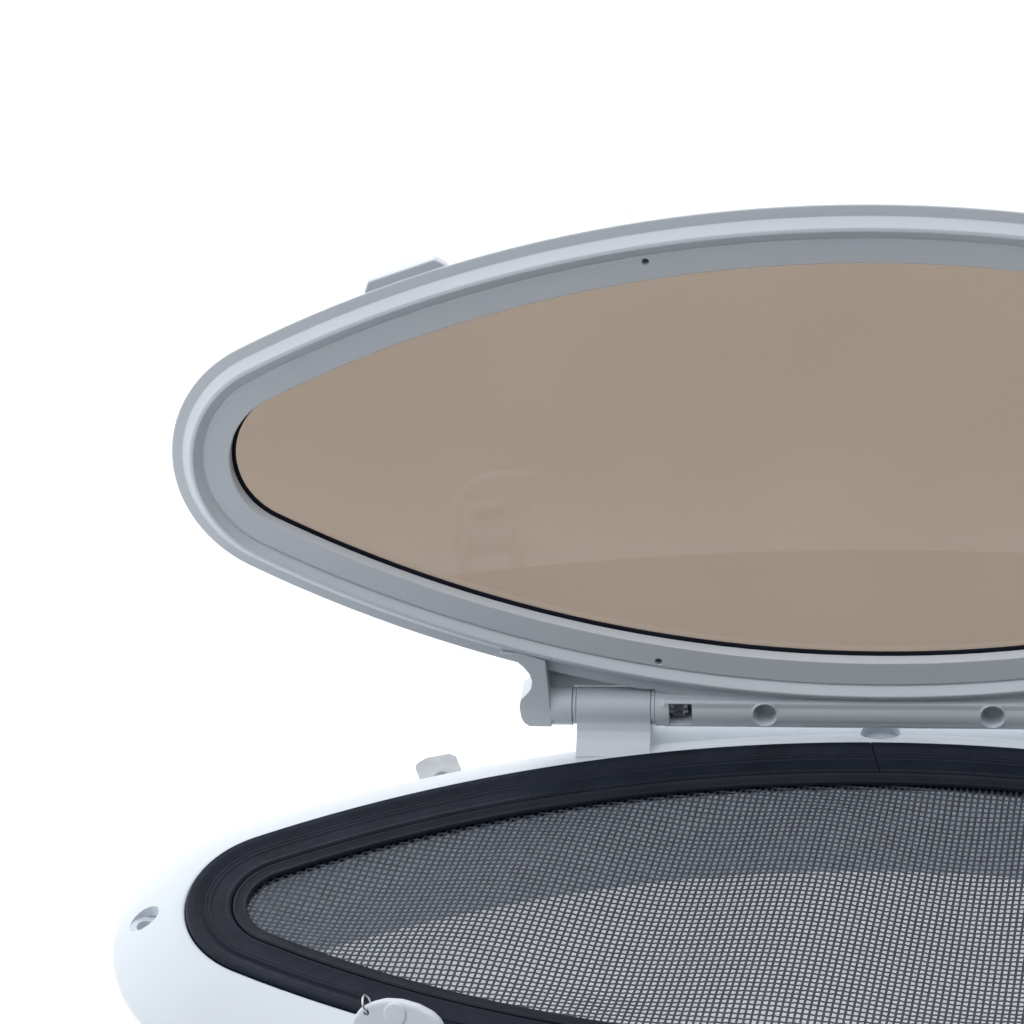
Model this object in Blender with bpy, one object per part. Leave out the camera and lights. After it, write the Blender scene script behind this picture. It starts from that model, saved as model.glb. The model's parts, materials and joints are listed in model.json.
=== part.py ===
"""Opening porthole: oval plastic base with gasket and insect screen, smoked lens in a hinged lid, two dogs.
Metres, +Z up. X runs along the hinge, the hinge is on the +Y side, z = 0 is the flange's back plane.
Every oval is an offset of one four-arc spine, so a ring is a profile of (offset, height) carried round it."""
import math

import bpy
import bmesh
from mathutils import Matrix, Vector

MM = 0.001
# spine: end arcs centred (+-END_X, 0), side arcs centred (0, -+SIDE_Y)
END_X, SIDE_Y = 153.2, 280.0
SPINE = math.hypot(END_X, SIDE_Y)
TURN = math.atan2(SIDE_Y, END_X)
END_STEPS, SIDE_STEPS = 16, 18

FLANGE, EDGE = 51.3, 2.4            # flange's offset and edge thickness
DOME_POWER = 1.25                   # roundness of the flange's top
RIM_IN, RIM_OUT, RIM_Z = 30.9, 31.7, 15.5
SEAT_Z = 12.4
OPENING, SPIGOT_OUT, SPIGOT_Z = 17.0, 20.2, -18.7
HOLLOW = 24.0                       # inner wall of the hollow in the flange's back
ON_SEAT = SEAT_Z + 0.3
GASKET_OUT, GASKET_Z = 30.6, 17.1
LIP = 18.2                          # gasket's lip, which covers the foot of the screen's frame
FOOT, FOOT_Z = 19.9, 14.1
SCREEN_IN, SCREEN_OUT, SCREEN_Z = 13.9, 17.9, 16.9
NET, NET_Z = 15.75, (14.2, 14.6)

LID, LID_Z = 37.9, 20.4
LAND_IN, LAND_Z = 21.7, 17.6
LENS_SEAT, LENS_Z, LENS_TOP = 24.6, 22.55, 27.0
SEAL_IN, SEAL_Z = 20.5, (21.95, 22.25)

AXIS_Y, AXIS_Z = 77.6, 22.3         # hinge axis
OPEN = math.radians(99.4)           # how far open the lid stands at rest
BAR, BAR_R, KNUCKLE_R = 97.6, 5.4, 5.2
KNUCKLE = (62.7, 83.2)
GAP = (61.5, 84.4)
PIN_R, PIN_HOLE = 2.0, 2.3

# angles round the side arc from its middle
TAB_AT, DOG_AT, LUG_AT = math.radians(20.5), math.radians(19.3), math.radians(19.06)
DOG_R, DOG_Z = 46.2, 20.8           # dog's axis
DOG_OPEN = math.radians(64.0)
DOG_HOLE, PIN_OUT = 1.8, 1.5

for each in list(bpy.data.objects):
    bpy.data.objects.remove(each, do_unlink=True)
scene = bpy.context.scene
helpers = bpy.data.collections.new("cutters")
scene.collection.children.link(helpers)
helpers.hide_render = True


def stations():
    """(spine point, outward direction) all round, counter-clockwise from +X."""
    found = []
    for k in range(END_STEPS):
        a = -TURN + 2 * TURN * k / END_STEPS
        found.append(((END_X, 0.0), a))
    side = math.pi - 2 * TURN
    for k in range(SIDE_STEPS):
        a = TURN + side * k / SIDE_STEPS
        found.append(((SPINE * math.cos(a), SPINE * math.sin(a) - SIDE_Y), a))
    out = [(p, (math.cos(a), math.sin(a))) for p, a in found]
    return out + [((-p[0], -p[1]), (-d[0], -d[1])) for p, d in out]


ROUND = stations()


def on_arc(offset, angle, side, front, height=0.0):
    """Frame at this offset and angle of a side arc: X along it, Y outward, Z up. Side -1 is left, front -1 is -Y."""
    outward = Vector((side * math.sin(angle), front * math.cos(angle), 0))
    up = Vector((0, 0, 1))
    turn = Matrix((outward.cross(up), outward, up)).transposed().to_4x4()
    return Matrix.Translation(outward * (SPINE + offset) + Vector((0, -front * SIDE_Y, height))) @ turn


def ring(profile):
    n, m = len(profile), len(ROUND)
    verts = [(p[0] + r * d[0], p[1] + r * d[1], z) for p, d in ROUND for r, z in profile]
    faces = [
        (i * n + j, i * n + (j + 1) % n, ((i + 1) % m) * n + (j + 1) % n, ((i + 1) % m) * n + j)
        for i in range(m)
        for j in range(n)
    ]
    return verts, faces


def rear_ledge(profile, half, steps):
    """Profile of (offset, height) carried along the rear side arc to half an angle each way, with its ends capped."""
    n, verts = len(profile), []
    for k in range(steps + 1):
        a = math.pi / 2 - half + 2 * half * k / steps
        verts += [((SPINE + r) * math.cos(a), (SPINE + r) * math.sin(a) - SIDE_Y, z) for r, z in profile]
    faces = [
        (i * n + j, i * n + (j + 1) % n, (i + 1) * n + (j + 1) % n, (i + 1) * n + j)
        for i in range(steps)
        for j in range(n)
    ]
    return verts, faces + [tuple(range(n))[::-1], tuple(steps * n + j for j in range(n))]


def plate(offset, low, high):
    m = len(ROUND)
    outline = [(p[0] + offset * d[0], p[1] + offset * d[1]) for p, d in ROUND]
    verts = [(x, y, low) for x, y in outline] + [(x, y, high) for x, y in outline]
    faces = [tuple(range(m)), tuple(range(m, 2 * m))]
    faces += [(i, (i + 1) % m, m + (i + 1) % m, m + i) for i in range(m)]
    return verts, faces


def prism(points, low, high, frame="XY"):
    """Polygon extruded. XY: along Z. YZ: along X."""
    m = len(points)
    if frame == "XY":
        verts = [(x, y, low) for x, y in points] + [(x, y, high) for x, y in points]
    else:
        verts = [(low, y, z) for y, z in points] + [(high, y, z) for y, z in points]
    faces = [tuple(range(m)), tuple(range(m, 2 * m))]
    faces += [(i, (i + 1) % m, m + (i + 1) % m, m + i) for i in range(m)]
    return verts, faces


def box(x0, x1, y0, y1, z0, z1):
    return prism([(x0, y0), (x1, y0), (x1, y1), (x0, y1)], z0, z1)


def circle(cx, cy, r, n, start=0.0, end=2 * math.pi):
    whole = abs(end - start - 2 * math.pi) < 1e-9
    angles = [start + (end - start) * k / n for k in range(n if whole else n + 1)]
    return [(cx + r * math.cos(a), cy + r * math.sin(a)) for a in angles]


def lathe_x(profile, cy, cz, n=16):
    """Profile of (x, radius) turned about the line along X through (cy, cz). Closed ends at radius 0, or a ring."""
    rows = []
    verts = []
    for x, r in profile:
        if r < 1e-6:
            rows.append([len(verts)])
            verts.append((x, cy, cz))
        else:
            rows.append(list(range(len(verts), len(verts) + n)))
            verts += [(x, y, z) for y, z in circle(cy, cz, r, n)]
    faces = []
    closed = len(rows[0]) > 1
    pairs = list(zip(rows, rows[1:])) + ([(rows[-1], rows[0])] if closed else [])
    for a, b in pairs:
        for k in range(n):
            q = (k + 1) % n
            if len(a) == 1:
                faces.append((a[0], b[k], b[q]))
            elif len(b) == 1:
                faces.append((a[k], a[q], b[0]))
            else:
                faces.append((a[k], a[q], b[q], b[k]))
    return verts, faces


def rod(x0, x1, r, cy, cz, n=16):
    return lathe_x([(x0, 0), (x0, r), (x1, r), (x1, 0)], cy, cz, n)


def washer(x0, x1, r0, r1, cy, cz, n=20):
    return lathe_x([(x0, r0), (x0, r1), (x1, r1), (x1, r0)], cy, cz, n)


def hole(cx, cy, steps, n=16):
    """A round cutter along Z from (z, radius) steps."""
    verts, faces = lathe_x([(steps[0][0], 0)] + list(steps) + [(steps[-1][0], 0)], 0, 0, n)
    return [(cx + y, cy + z, x) for x, y, z in verts], faces


def flipped(body):
    """The same body on the other side of the middle."""
    return [(-x, y, z) for x, y, z in body[0]], body[1]


def turned(body, matrix):
    return [tuple(matrix @ Vector(v)) for v in body[0]], body[1]


def mesh_of(name, bodies):
    bm = bmesh.new()
    for verts, faces in bodies:
        made = [bm.verts.new([c * MM for c in v]) for v in verts]
        new = [bm.faces.new([made[i] for i in f]) for f in faces]
        bmesh.ops.recalc_face_normals(bm, faces=new)
    mesh = bpy.data.meshes.new(name)
    bm.to_mesh(mesh)
    bm.free()
    return mesh


def material(name, colour, roughness, metallic=0.0, clear=0.0):
    made = bpy.data.materials.new(name)
    made.use_nodes = True
    shader = made.node_tree.nodes["Principled BSDF"]
    shader.inputs["Base Color"].default_value = (*colour, 1)
    shader.inputs["Roughness"].default_value = roughness
    shader.inputs["Metallic"].default_value = metallic
    shader.inputs["Transmission Weight"].default_value = clear
    return made


WHITE, BLACK, STEEL = (0.80, 0.82, 0.82), (0.03, 0.035, 0.045), (0.55, 0.56, 0.57)
SIDES = (("left", -1), ("right", 1))


def part(name, bodies, colour, roughness=0.4, metallic=0.0, clear=0.0, parent=None):
    made = bpy.data.objects.new(name, mesh_of(name, bodies))
    made.data.materials.append(material(name, colour, roughness, metallic, clear))
    scene.collection.objects.link(made)
    made.parent = parent
    return made


def boolean(target, name, bodies, operation):
    other = bpy.data.objects.new(name, mesh_of(name, bodies))
    other.display_type = "WIRE"
    other.hide_render = True
    other.parent = target.parent
    helpers.objects.link(other)
    step = target.modifiers.new(name, "BOOLEAN")
    step.operation = operation
    step.solver = "EXACT"
    step.object = other
    return step


def pivot(name, matrix):
    made = bpy.data.objects.new(name, None)
    made.empty_display_size = 0.01
    scene.collection.objects.link(made)
    made.matrix_world = matrix
    return made


# ---------------------------------------------------------------- base frame
def dome_z(offset):
    """Height of the flange's rounded top."""
    u = (offset - RIM_OUT) / (FLANGE - RIM_OUT)
    return EDGE + (RIM_Z - EDGE) * (1 - u**DOME_POWER) ** (1 / DOME_POWER)


dome = [RIM_OUT + (FLANGE - RIM_OUT) * math.cos(math.pi / 12 * k) for k in range(7)]
base = part(
    "base_frame",
    [
        ring(
            [(FLANGE, 0.0)]
            + [(offset, dome_z(offset)) for offset in dome]
            + [
                (RIM_IN, RIM_Z - 0.2),
                (RIM_IN, SEAT_Z),
                (OPENING, SEAT_Z),
                (OPENING, SPIGOT_Z),
                (SPIGOT_OUT, SPIGOT_Z),
                (SPIGOT_OUT, 0.0),
                (HOLLOW, 0.0),
                (HOLLOW, 9.4),
                (34.0, 10.0),
                (42.0, 7.6),
                (46.4, 3.9),
                (47.4, 0.0),
            ]
        )
    ],
    WHITE,
)

knuckle_side = (
    [(64.6, 13.0), (64.9, 15.7), (66.9, 16.0), (69.0, 16.8), (70.8, 18.2), (72.0, 20.2)]
    + circle(AXIS_Y, AXIS_Z, KNUCKLE_R, 10, math.pi, 0)
    + [(82.8, 12.0), (83.6, 7.6), (78.0, 8.5)]
)
knuckle = prism(knuckle_side, *KNUCKLE, "YZ")
# dog's own frame: X along its axis, Y outward, Z up, from the axis
ear_top = circle(0.1, 0, 4.9, 8, math.radians(172), math.radians(8))
ear_side = [(-4.8, -11.8), (-4.8, -0.6)] + ear_top + [(5.0, -1.0), (4.9, -19.2), (2.6, -17.0), (-0.6, -14.2)]
ears = [prism(ear_side, 6.9, 9.6, "YZ"), prism(ear_side, -9.6, -6.9, "YZ")]

# each screw hole: (x, y), offset, counterbore's radius, its depth, boss's radius, boss's shift towards the middle
corner_y = SIDE_Y - math.sqrt((SPINE + 41.0) ** 2 - 76.0**2)
screws = [((s * (END_X + 42.4), 0.0), 42.4, 4.1, 3.0, 5.0, (-s, 0)) for s in (-1, 1)]
screws += [((0.0, 78.9), 39.7, 5.4, 3.4, 6.3, (0, -1)), ((0.0, -77.4), 38.2, 4.1, 2.9, 5.0, (0, 1))]
screws += [((s * 76.0, corner_y), 41.0, 4.1, 2.9, 5.0, (0, 1)) for s in (-1, 1)]
SCREW_R = 2.3
bosses, cuts = [], []
for (x, y), offset, head, depth, boss, (across, along) in screws:
    top = dome_z(offset)
    floor = top - depth
    bosses.append(hole(x + across, y + along, [(0.0, boss), (floor, boss)], 20))
    cuts.append(hole(x, y, [(-2.0, SCREW_R), (floor, SCREW_R), (floor + 0.01, head), (top + 8.0, head)], 20))
# flat ledge along the rear of the flange, from inside one knuckle to inside the other
ledge = [(50.0, 1.2), (49.9, 11.5), (49.4, 12.0), (39.6, 12.0), (38.4, 10.6), (43.6, 7.2), (47.2, 3.9), (48.2, 1.2)]
ledge = rear_ledge(ledge, math.radians(11.2), 12)
adds = [knuckle, flipped(knuckle)]
adds += [turned(b, on_arc(DOG_R, DOG_AT, s, -1, DOG_Z)) for s in (-1, 1) for b in ears]
boolean(base, "base_ledge", [ledge], "UNION")
boolean(base, "base_adds", adds, "UNION")
boolean(base, "base_bosses", bosses, "UNION")

knuckle_bore = rod(KNUCKLE[0] - 2, KNUCKLE[1] + 2, PIN_HOLE, AXIS_Y, AXIS_Z)
cuts += [knuckle_bore, flipped(knuckle_bore)]
cuts += [turned(rod(-12, 12, DOG_HOLE, 0, 0, 12), on_arc(DOG_R, DOG_AT, s, -1, DOG_Z)) for s in (-1, 1)]
cuts += [turned(box(-6.4, 6.4, 40.0, 56.0, -2.0, 1.5), on_arc(0.0, LUG_AT, s, 1)) for s in (-1, 1)]
boolean(base, "base_cuts", cuts, "DIFFERENCE")

# ---------------------------------------------------------------- gasket and screen
gasket = [
    (FOOT + 0.3, ON_SEAT),
    (GASKET_OUT, ON_SEAT),
    (GASKET_OUT, 16.4),
    (30.0, GASKET_Z),
    (26.6, GASKET_Z),
    (26.0, 16.5),
    (25.4, 16.9),
    (19.2, 16.7),
    (LIP, 16.2),
    (LIP, FOOT_Z + 0.3),
    (FOOT + 0.3, FOOT_Z + 0.3),
]
screen_frame = [
    (16.1, ON_SEAT),
    (FOOT, ON_SEAT),
    (FOOT, FOOT_Z),
    (SCREEN_OUT, FOOT_Z),
    (SCREEN_OUT, 16.4),
    (SCREEN_OUT - 0.5, SCREEN_Z),
    (14.8, SCREEN_Z),
    (SCREEN_IN, 16.2),
    (SCREEN_IN, 15.1),
    (16.1, 15.1),
]
part("gasket", [ring(gasket)], BLACK, 0.6)
part("screen_frame", [ring(screen_frame)], BLACK, 0.5)
part("screen_spline", [ring([(14.3, 12.9), (NET, 12.9), (NET, 13.9), (14.3, 13.9)])], BLACK, 0.6)
part("screen_mesh", [plate(NET, *NET_Z)], (0.2, 0.21, 0.23), 0.7)

# ---------------------------------------------------------------- lid, built closed about the hinge axis
hinge = pivot("lid_axis", Matrix.Translation((0, AXIS_Y * MM, AXIS_Z * MM)) @ Matrix.Rotation(-OPEN, 4, "X"))


def on_lid(bodies):
    move = Matrix.Translation((0, -AXIS_Y, -AXIS_Z))
    return [turned(b, move) for b in bodies]


def lid_part(name, bodies, *how):
    return part(name, on_lid(bodies), *how, parent=hinge)


lid_side = [
    (LID, LID_Z),
    (34.7, 19.2),
    (32.5, 16.8),
    (31.6, 16.4),
    (28.9, 18.3),
    (28.5, 17.8),
    (LAND_IN, LAND_Z),
    (LAND_IN - 0.1, 21.6),
    (25.0, 21.6),
    (25.0, 27.1),
    (26.0, 27.9),
    (29.5, 27.6),
    (32.6, 26.3),
    (35.2, 24.2),
    (37.0, 21.9),
]
lid = lid_part("lid_frame", [ring(lid_side)], WHITE)
# the bar's end, with the notch in its outer side
lobe = [
    (-104.6, 58.4),
    (-102.2, 59.4),
    (-99.2, 60.8),
    (-97.3, 62.6),
    (-95.7, 64.8),
    (-95.0, 67.0),
    (-95.4, 69.5),
    (-96.8, 71.4),
    (-98.4, 73.0),
    (-98.8, 75.2),
    (-98.5, 78.2),
    (-97.8, 80.2),
    (-96.2, 81.4),
    (-90.0, 81.4),
    (-91.1, 60.8),
    (-97.5, 58.4),
]
end_web = prism(lobe, 17.0, 27.3)
# flat-faced length of the bar between the knuckles
middle_side = [
    (73.2, 18.6),
    (73.6, 17.4),
    (80.9, 17.4),
    (82.3, 19.3),
    (83.0, 21.6),
    (82.7, 24.6),
    (81.2, 26.8),
    (78.8, 27.7),
    (73.2, 27.7),
]
middle = prism(middle_side, -59.2, 59.2, "YZ")
# skin from the ring to the bar, over the pockets beside the knuckles
skin_edge = [(p[0] + 30.5 * d[0], p[1] + 30.5 * d[1]) for p, d in ROUND]
skin_edge = sorted([(x, y) for x, y in skin_edge if y > 0 and abs(x) < 94.0])
skin = prism([(-94.0, 78.0), (-94.0, 58.0)] + skin_edge + [(94.0, 58.0), (94.0, 78.0)], 24.4, 27.2)
tab = prism([(-12.2, 34.6), (12.2, 34.6), (12.0, 37.4), (9.4, 40.4), (-9.4, 40.4), (-12.0, 37.4)], 20.5, 23.4)
tabs = [turned(tab, on_arc(0.0, TAB_AT, s, -1)) for s in (-1, 1)]
boolean(lid, "lid_bar", on_lid([rod(-BAR, BAR, BAR_R, AXIS_Y, AXIS_Z, 24)]), "UNION")
boolean(lid, "lid_middle", on_lid([middle] + tabs), "UNION")
boolean(lid, "lid_web", on_lid([skin]), "UNION")
boolean(lid, "lid_ends", on_lid([end_web, flipped(end_web)]), "UNION")

# the knuckle turns in this gap, which leaves the skin behind it
round_knuckle = circle(AXIS_Y, AXIS_Z, KNUCKLE_R + 0.5, 6, math.radians(120), math.pi)
gap_side = [(70.9, 8.0), (92.0, 8.0), (92.0, 36.0), (round_knuckle[0][0], 36.0)] + round_knuckle + [(70.9, AXIS_Z)]
gap = prism(gap_side, *GAP, "YZ")
window = box(51.3, 57.6, 74.2, 80.95, 8.0, 26.4)
bore = rod(56.0, 99.5, PIN_HOLE, AXIS_Y, AXIS_Z)
seat = rod(96.0, 99.5, 3.5, AXIS_Y, AXIS_Z)
vents = [hole(s * 60.0, f * 61.0, [(10.0, 1.0), (21.0, 1.0)], 10) for s in (-1, 1) for f in (-1, 1)]
blind_steps = [(10.0, 3.2), (16.9, 3.2), (17.39, 3.5), (17.6, 3.2), (22.6, 3.1)]
blind = [hole(s * 31.2, 77.2, blind_steps, 20) for s in (-1, 1)]
boolean(lid, "lid_gaps", on_lid([gap, flipped(gap)]), "DIFFERENCE")
boolean(lid, "lid_windows", on_lid([window, flipped(window)] + vents + blind), "DIFFERENCE")
boolean(lid, "lid_bores", on_lid([bore, flipped(bore)]), "DIFFERENCE")
boolean(lid, "lid_seats", on_lid([seat, flipped(seat)]), "DIFFERENCE")

lid_part("lens", [plate(LENS_SEAT, LENS_Z, LENS_TOP)], (0.32, 0.25, 0.2), 0.05, 0.0, 0.8)
low, high = SEAL_Z
seal = ring([(SEAL_IN, low), (LENS_SEAT, low), (LENS_SEAT, high), (SEAL_IN, high)])
lid_part("lens_seal", [seal], BLACK, 0.6)

nut = [(53.6, 2.3), (53.6, 2.85), (53.9, 3.0), (56.3, 3.0), (56.6, 2.85), (56.6, 2.3)]
hinge_bits = [
    ("hinge_pin_", rod(52.6, 95.4, PIN_R, AXIS_Y, AXIS_Z, 20), STEEL, 0.3, 1.0),
    ("hinge_nut_", lathe_x(nut, AXIS_Y, AXIS_Z, 12), STEEL, 0.3, 1.0),
    ("hinge_cap_", rod(96.3, 98.0, 3.2, AXIS_Y, AXIS_Z, 20), WHITE, 0.4, 0.0),
    ("washer_inner_", washer(61.8, 62.4, 2.35, 4.9, AXIS_Y, AXIS_Z), WHITE, 0.4, 0.0),
    ("washer_outer_", washer(83.5, 84.1, 2.35, 4.9, AXIS_Y, AXIS_Z), WHITE, 0.4, 0.0),
]
for name, side in SIDES:
    for what, body, *how in hinge_bits:
        lid_part(what + name, [flipped(body) if side < 0 else body], *how)

# ---------------------------------------------------------------- dogs, built engaged about their own axis
hub = circle(0, 0, 4.5, 12, math.radians(200), math.radians(350)) + [
    (4.5, 4.0),
    (3.4, 8.4),
    (1.0, 10.4),
    (-4.0, 10.2),
    (-9.2, 8.2),
    (-9.2, 4.5),
    (-5.0, 4.3),
    (-4.4, 3.0),
]
# paddle's outline on the left dog, broader towards the middle of the porthole
paddle = [
    (8.2, 1.4),
    (9.6, -4.0),
    (9.4, -9.8),
    (7.5, -13.3),
    (4.6, -15.5),
    (1.2, -17.2),
    (-3.3, -18.0),
    (-8.2, -17.8),
    (-12.4, -16.7),
    (-15.2, -14.9),
    (-16.6, -11.0),
    (-16.2, -5.4),
    (-13.4, -0.8),
    (-8.8, 1.4),
]
ARM_Z = (8.0, 11.4)
BUTTON, BUTTON_R, BUTTON_Z = (-2.6, -14.0), 3.2, 11.9
EYE, EYE_R = (5.4, -12.6), 0.8
LOOP_R, WIRE_R, LOOP_Z = 2.35, 0.3, 9.7
pin = [(-10.8, 0), (-10.8, 2.4), (-9.9, 2.6), (-9.9, PIN_OUT), (11.0, PIN_OUT), (11.0, 0)]


def wire_loop(place, turns=20, sides=6):
    verts = []
    for k in range(turns):
        a = 2 * math.pi * k / turns
        for x, y in circle(LOOP_R, 0, WIRE_R, sides):
            verts.append((x * math.cos(a), y, x * math.sin(a)))
    faces = []
    for k in range(turns):
        n = (k + 1) % turns
        for q in range(sides):
            p = (q + 1) % sides
            faces.append((k * sides + q, k * sides + p, n * sides + p, n * sides + q))
    return turned((verts, faces), place)


for name, side in SIDES:
    place = on_arc(DOG_R, DOG_AT, side, -1, DOG_Z)
    place.translation *= MM
    fixed = pivot("dog_place_" + name, place)
    swing = pivot("dog_axis_" + name, place @ Matrix.Rotation(-DOG_OPEN, 4, "X"))
    outline = [(-side * x, y) for x, y in paddle]
    eye = (-side * EYE[0], EYE[1])
    lever = part("dog_lever_" + name, [prism(hub, -6.5, 6.5, "YZ")], WHITE, parent=swing)
    boolean(lever, "lever_arm_" + name, [prism(outline, *ARM_Z)], "UNION")
    button = hole(-side * BUTTON[0], BUTTON[1], [(ARM_Z[0] + 1, BUTTON_R), (BUTTON_Z, BUTTON_R)], 20)
    boolean(lever, "lever_button_" + name, [button], "UNION")
    lever_cuts = [rod(-9, 9, DOG_HOLE, 0, 0, 12), hole(*eye, [(6.0, EYE_R), (14.0, EYE_R)], 10)]
    boolean(lever, "lever_cuts_" + name, lever_cuts, "DIFFERENCE")
    pad = sorted((side * -3.8, side * 4.2))
    part("dog_pad_" + name, [box(*pad, -8.8, -5.8, 2.95, 4.0)], BLACK, 0.7, parent=swing)
    part("dog_pin_" + name, [lathe_x(pin, 0, 0, 14)], STEEL, 0.3, 1.0, parent=fixed)
    part("dog_clip_" + name, [washer(9.9, 10.5, 1.8, 3.2, 0, 0, 14)], STEEL, 0.3, 1.0, parent=fixed)
    # the loop stands on edge through the eye, leaning out past the paddle's corner
    lean = math.radians(-65)
    out = Vector((-side * math.cos(lean), math.sin(lean), 0)) * (LOOP_R - 0.45)
    stand = Matrix.Translation((eye[0] + out.x, eye[1] + out.y, LOOP_Z))
    stand = stand @ Matrix.Rotation(math.atan2(out.y, out.x), 4, "Z")
    part("dog_ring_" + name, [wire_loop(stand)], STEEL, 0.3, 1.0, parent=swing)

# ---------------------------------------------------------------- fixing lugs in the flange's back
tongue = [(-5.9, 43.0), (5.9, 43.0), (6.0, 60.0), (5.0, 62.0), (-2.6, 62.4), (-5.0, 61.2), (-6.0, 58.6)]
for name, side in SIDES:
    place = on_arc(0.0, LUG_AT, side, 1)
    shape = [(-side * x, y) for x, y in tongue]
    lug = part("fixing_lug_" + name, [turned(prism(shape, 0.1, 1.2), place)], STEEL, 0.35, 1.0)
    eye = hole(0.0, 53.0, [(-1.0, 2.15), (3.0, 2.15)], 18)
    boolean(lug, "lug_eye_" + name, [turned(eye, place)], "DIFFERENCE")
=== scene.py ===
"""Visual model of an opening porthole: oval plastic base with gasket and insect screen, smoked lens in a
hinged lid, two flip-over dogs. Shapes are made in millimetres, the lid and the dogs as they stand shut, and
then put in their rest place in metres. Every oval is an offset of one four-arc spine, and a ring is a
profile of (offset, height) carried round it."""
import json
import math

import bmesh
import bpy
from mathutils import Matrix, Vector


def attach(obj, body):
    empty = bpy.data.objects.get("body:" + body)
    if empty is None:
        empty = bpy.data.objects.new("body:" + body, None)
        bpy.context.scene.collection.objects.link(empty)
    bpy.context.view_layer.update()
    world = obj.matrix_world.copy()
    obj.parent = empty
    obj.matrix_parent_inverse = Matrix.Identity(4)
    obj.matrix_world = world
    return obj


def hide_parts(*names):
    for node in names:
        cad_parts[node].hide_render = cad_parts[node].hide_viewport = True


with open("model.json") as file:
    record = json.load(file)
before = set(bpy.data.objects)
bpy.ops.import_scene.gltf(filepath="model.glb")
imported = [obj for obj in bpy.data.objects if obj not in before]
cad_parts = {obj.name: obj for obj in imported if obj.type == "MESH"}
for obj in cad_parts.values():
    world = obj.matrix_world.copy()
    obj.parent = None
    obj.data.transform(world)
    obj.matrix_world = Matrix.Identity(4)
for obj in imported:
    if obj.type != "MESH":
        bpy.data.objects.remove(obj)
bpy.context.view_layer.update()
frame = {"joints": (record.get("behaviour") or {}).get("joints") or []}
scene = bpy.context.scene
MM = 0.001

# spine: end arcs centred (+-END_X, 0), side arcs centred (0, -+SIDE_Y)
END_X, SIDE_Y = 153.2, 280.0
SPINE = math.hypot(END_X, SIDE_Y)
TURN = math.atan2(SIDE_Y, END_X)
END_STEPS, SIDE_STEPS = 44, 48

# base: offsets from the spine, and heights above the wall
FLANGE, EDGE, DOME_POWER = 51.3, 2.4, 1.25
RIM_IN, RIM_OUT, RIM_Z = 30.9, 31.7, 15.5
SEAT_Z, ON_SEAT = 12.4, 12.7
OPENING, SPIGOT_OUT, SPIGOT_Z = 17.0, 20.2, -18.7
HOLLOW = 24.0
LEDGE_OUT, LEDGE_Z, LEDGE_HALF = 50.0, 12.0, math.radians(11.2)
SCREW_R = 2.3
# gasket, screen frame and net
GASKET_OUT, LIP, FOOT, FOOT_Z = 30.6, 18.2, 19.9, 14.1
SCREEN_IN, SCREEN_OUT = 13.9, 17.9
NET_EDGE, NET_Z, NET_PITCH = 15.6, 14.4, (1.77, 1.72)
NET_SKEW = 0.12
# half the width and half the height of a thread, and how far it goes over or under another
THREAD_WIDE, THREAD_HIGH, THREAD_OVER = 0.36, 0.25, 0.17
# lens: offset of its edge, and heights of its faces with the lid shut
LENS, LENS_Z = 24.6, (22.55, 27.0)
# places along a side arc, as angles from its middle
LUG_AT, TAB_AT = math.radians(19.06), math.radians(20.5)

JOINTS = {joint["name"]: joint for joint in frame["joints"]}
AXIS_Y, AXIS_Z = (c / MM for c in JOINTS["lid_hinge"]["pos_m"][1:])
OPEN = math.radians(JOINTS["lid_hinge"]["range_deg"][1])
DOG_OPEN = math.radians(JOINTS["dog_left_swing"]["range_deg"][1])
# hinge: spans along X on the right side
BAR, BAR_R, BLOCK = 97.6, 5.4, 59.2
KNUCKLE, KNUCKLE_R = (62.7, 83.2), 5.2
GAP, GAP_ROOM = (61.5, 84.4), 0.5
PIN_R, PIN_HOLE = 2.0, 2.3
POCKET_X, POCKET_Y = 31.2, 77.2
DISC_THICK, DISC_HOLE, DISC_R = 1.0, 2.35, 5.1
WEB_X, WEB_Y = 94.0, (58.0, 78.0)
# dogs and lugs
EARS, DOG_HOLE = ((6.9, 9.6), (-9.6, -6.9)), 1.8
PAD = (-3.8, 4.2)
EYE, EYE_R = (5.4, -12.6), 0.8
LOOP_R, LOOP_WIRE, LOOP_Z, LOOP_LEAN = 2.35, 0.3, 9.7, math.radians(-65)
BUTTON_R, BUTTON_AT = 3.2, (2.6, -14.0)
LUG_EYE_Y, LUG_EYE_R = 53.0, 2.15
SIDES = {"left": -1, "right": 1}


# ---------------------------------------------------------------- outlines and profiles
def stations():
    """(spine point, outward direction) all round, counter-clockwise from +X."""
    found = []
    for k in range(END_STEPS):
        a = -TURN + 2 * TURN * k / END_STEPS
        found.append(((END_X, 0.0), a))
    for k in range(SIDE_STEPS):
        a = TURN + (math.pi - 2 * TURN) * k / SIDE_STEPS
        found.append(((SPINE * math.cos(a), SPINE * math.sin(a) - SIDE_Y), a))
    half = [(p, (math.cos(a), math.sin(a))) for p, a in found]
    return half + [((-p[0], -p[1]), (-d[0], -d[1])) for p, d in half]


ROUND = stations()


def offset_of(x, y):
    """Which oval a point lies on."""
    x, y = abs(x), abs(y)
    if math.atan2(y + SIDE_Y, x) > TURN:
        return math.hypot(x, y + SIDE_Y) - SPINE
    return math.copysign(math.hypot(x - END_X, y), x - END_X)


def dome_z(offset):
    """Height of the flange's rounded top."""
    u = (offset - RIM_OUT) / (FLANGE - RIM_OUT)
    return EDGE + (RIM_Z - EDGE) * (1 - u**DOME_POWER) ** (1 / DOME_POWER)


def arc(cx, cy, r, steps, start, end):
    angles = [math.radians(start + (end - start) * k / steps) for k in range(steps + 1)]
    return [(cx + r * math.cos(a), cy + r * math.sin(a)) for a in angles]


def circle(cx, cy, r, steps):
    return arc(cx, cy, r, steps, 0, 360)[:-1]


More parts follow.
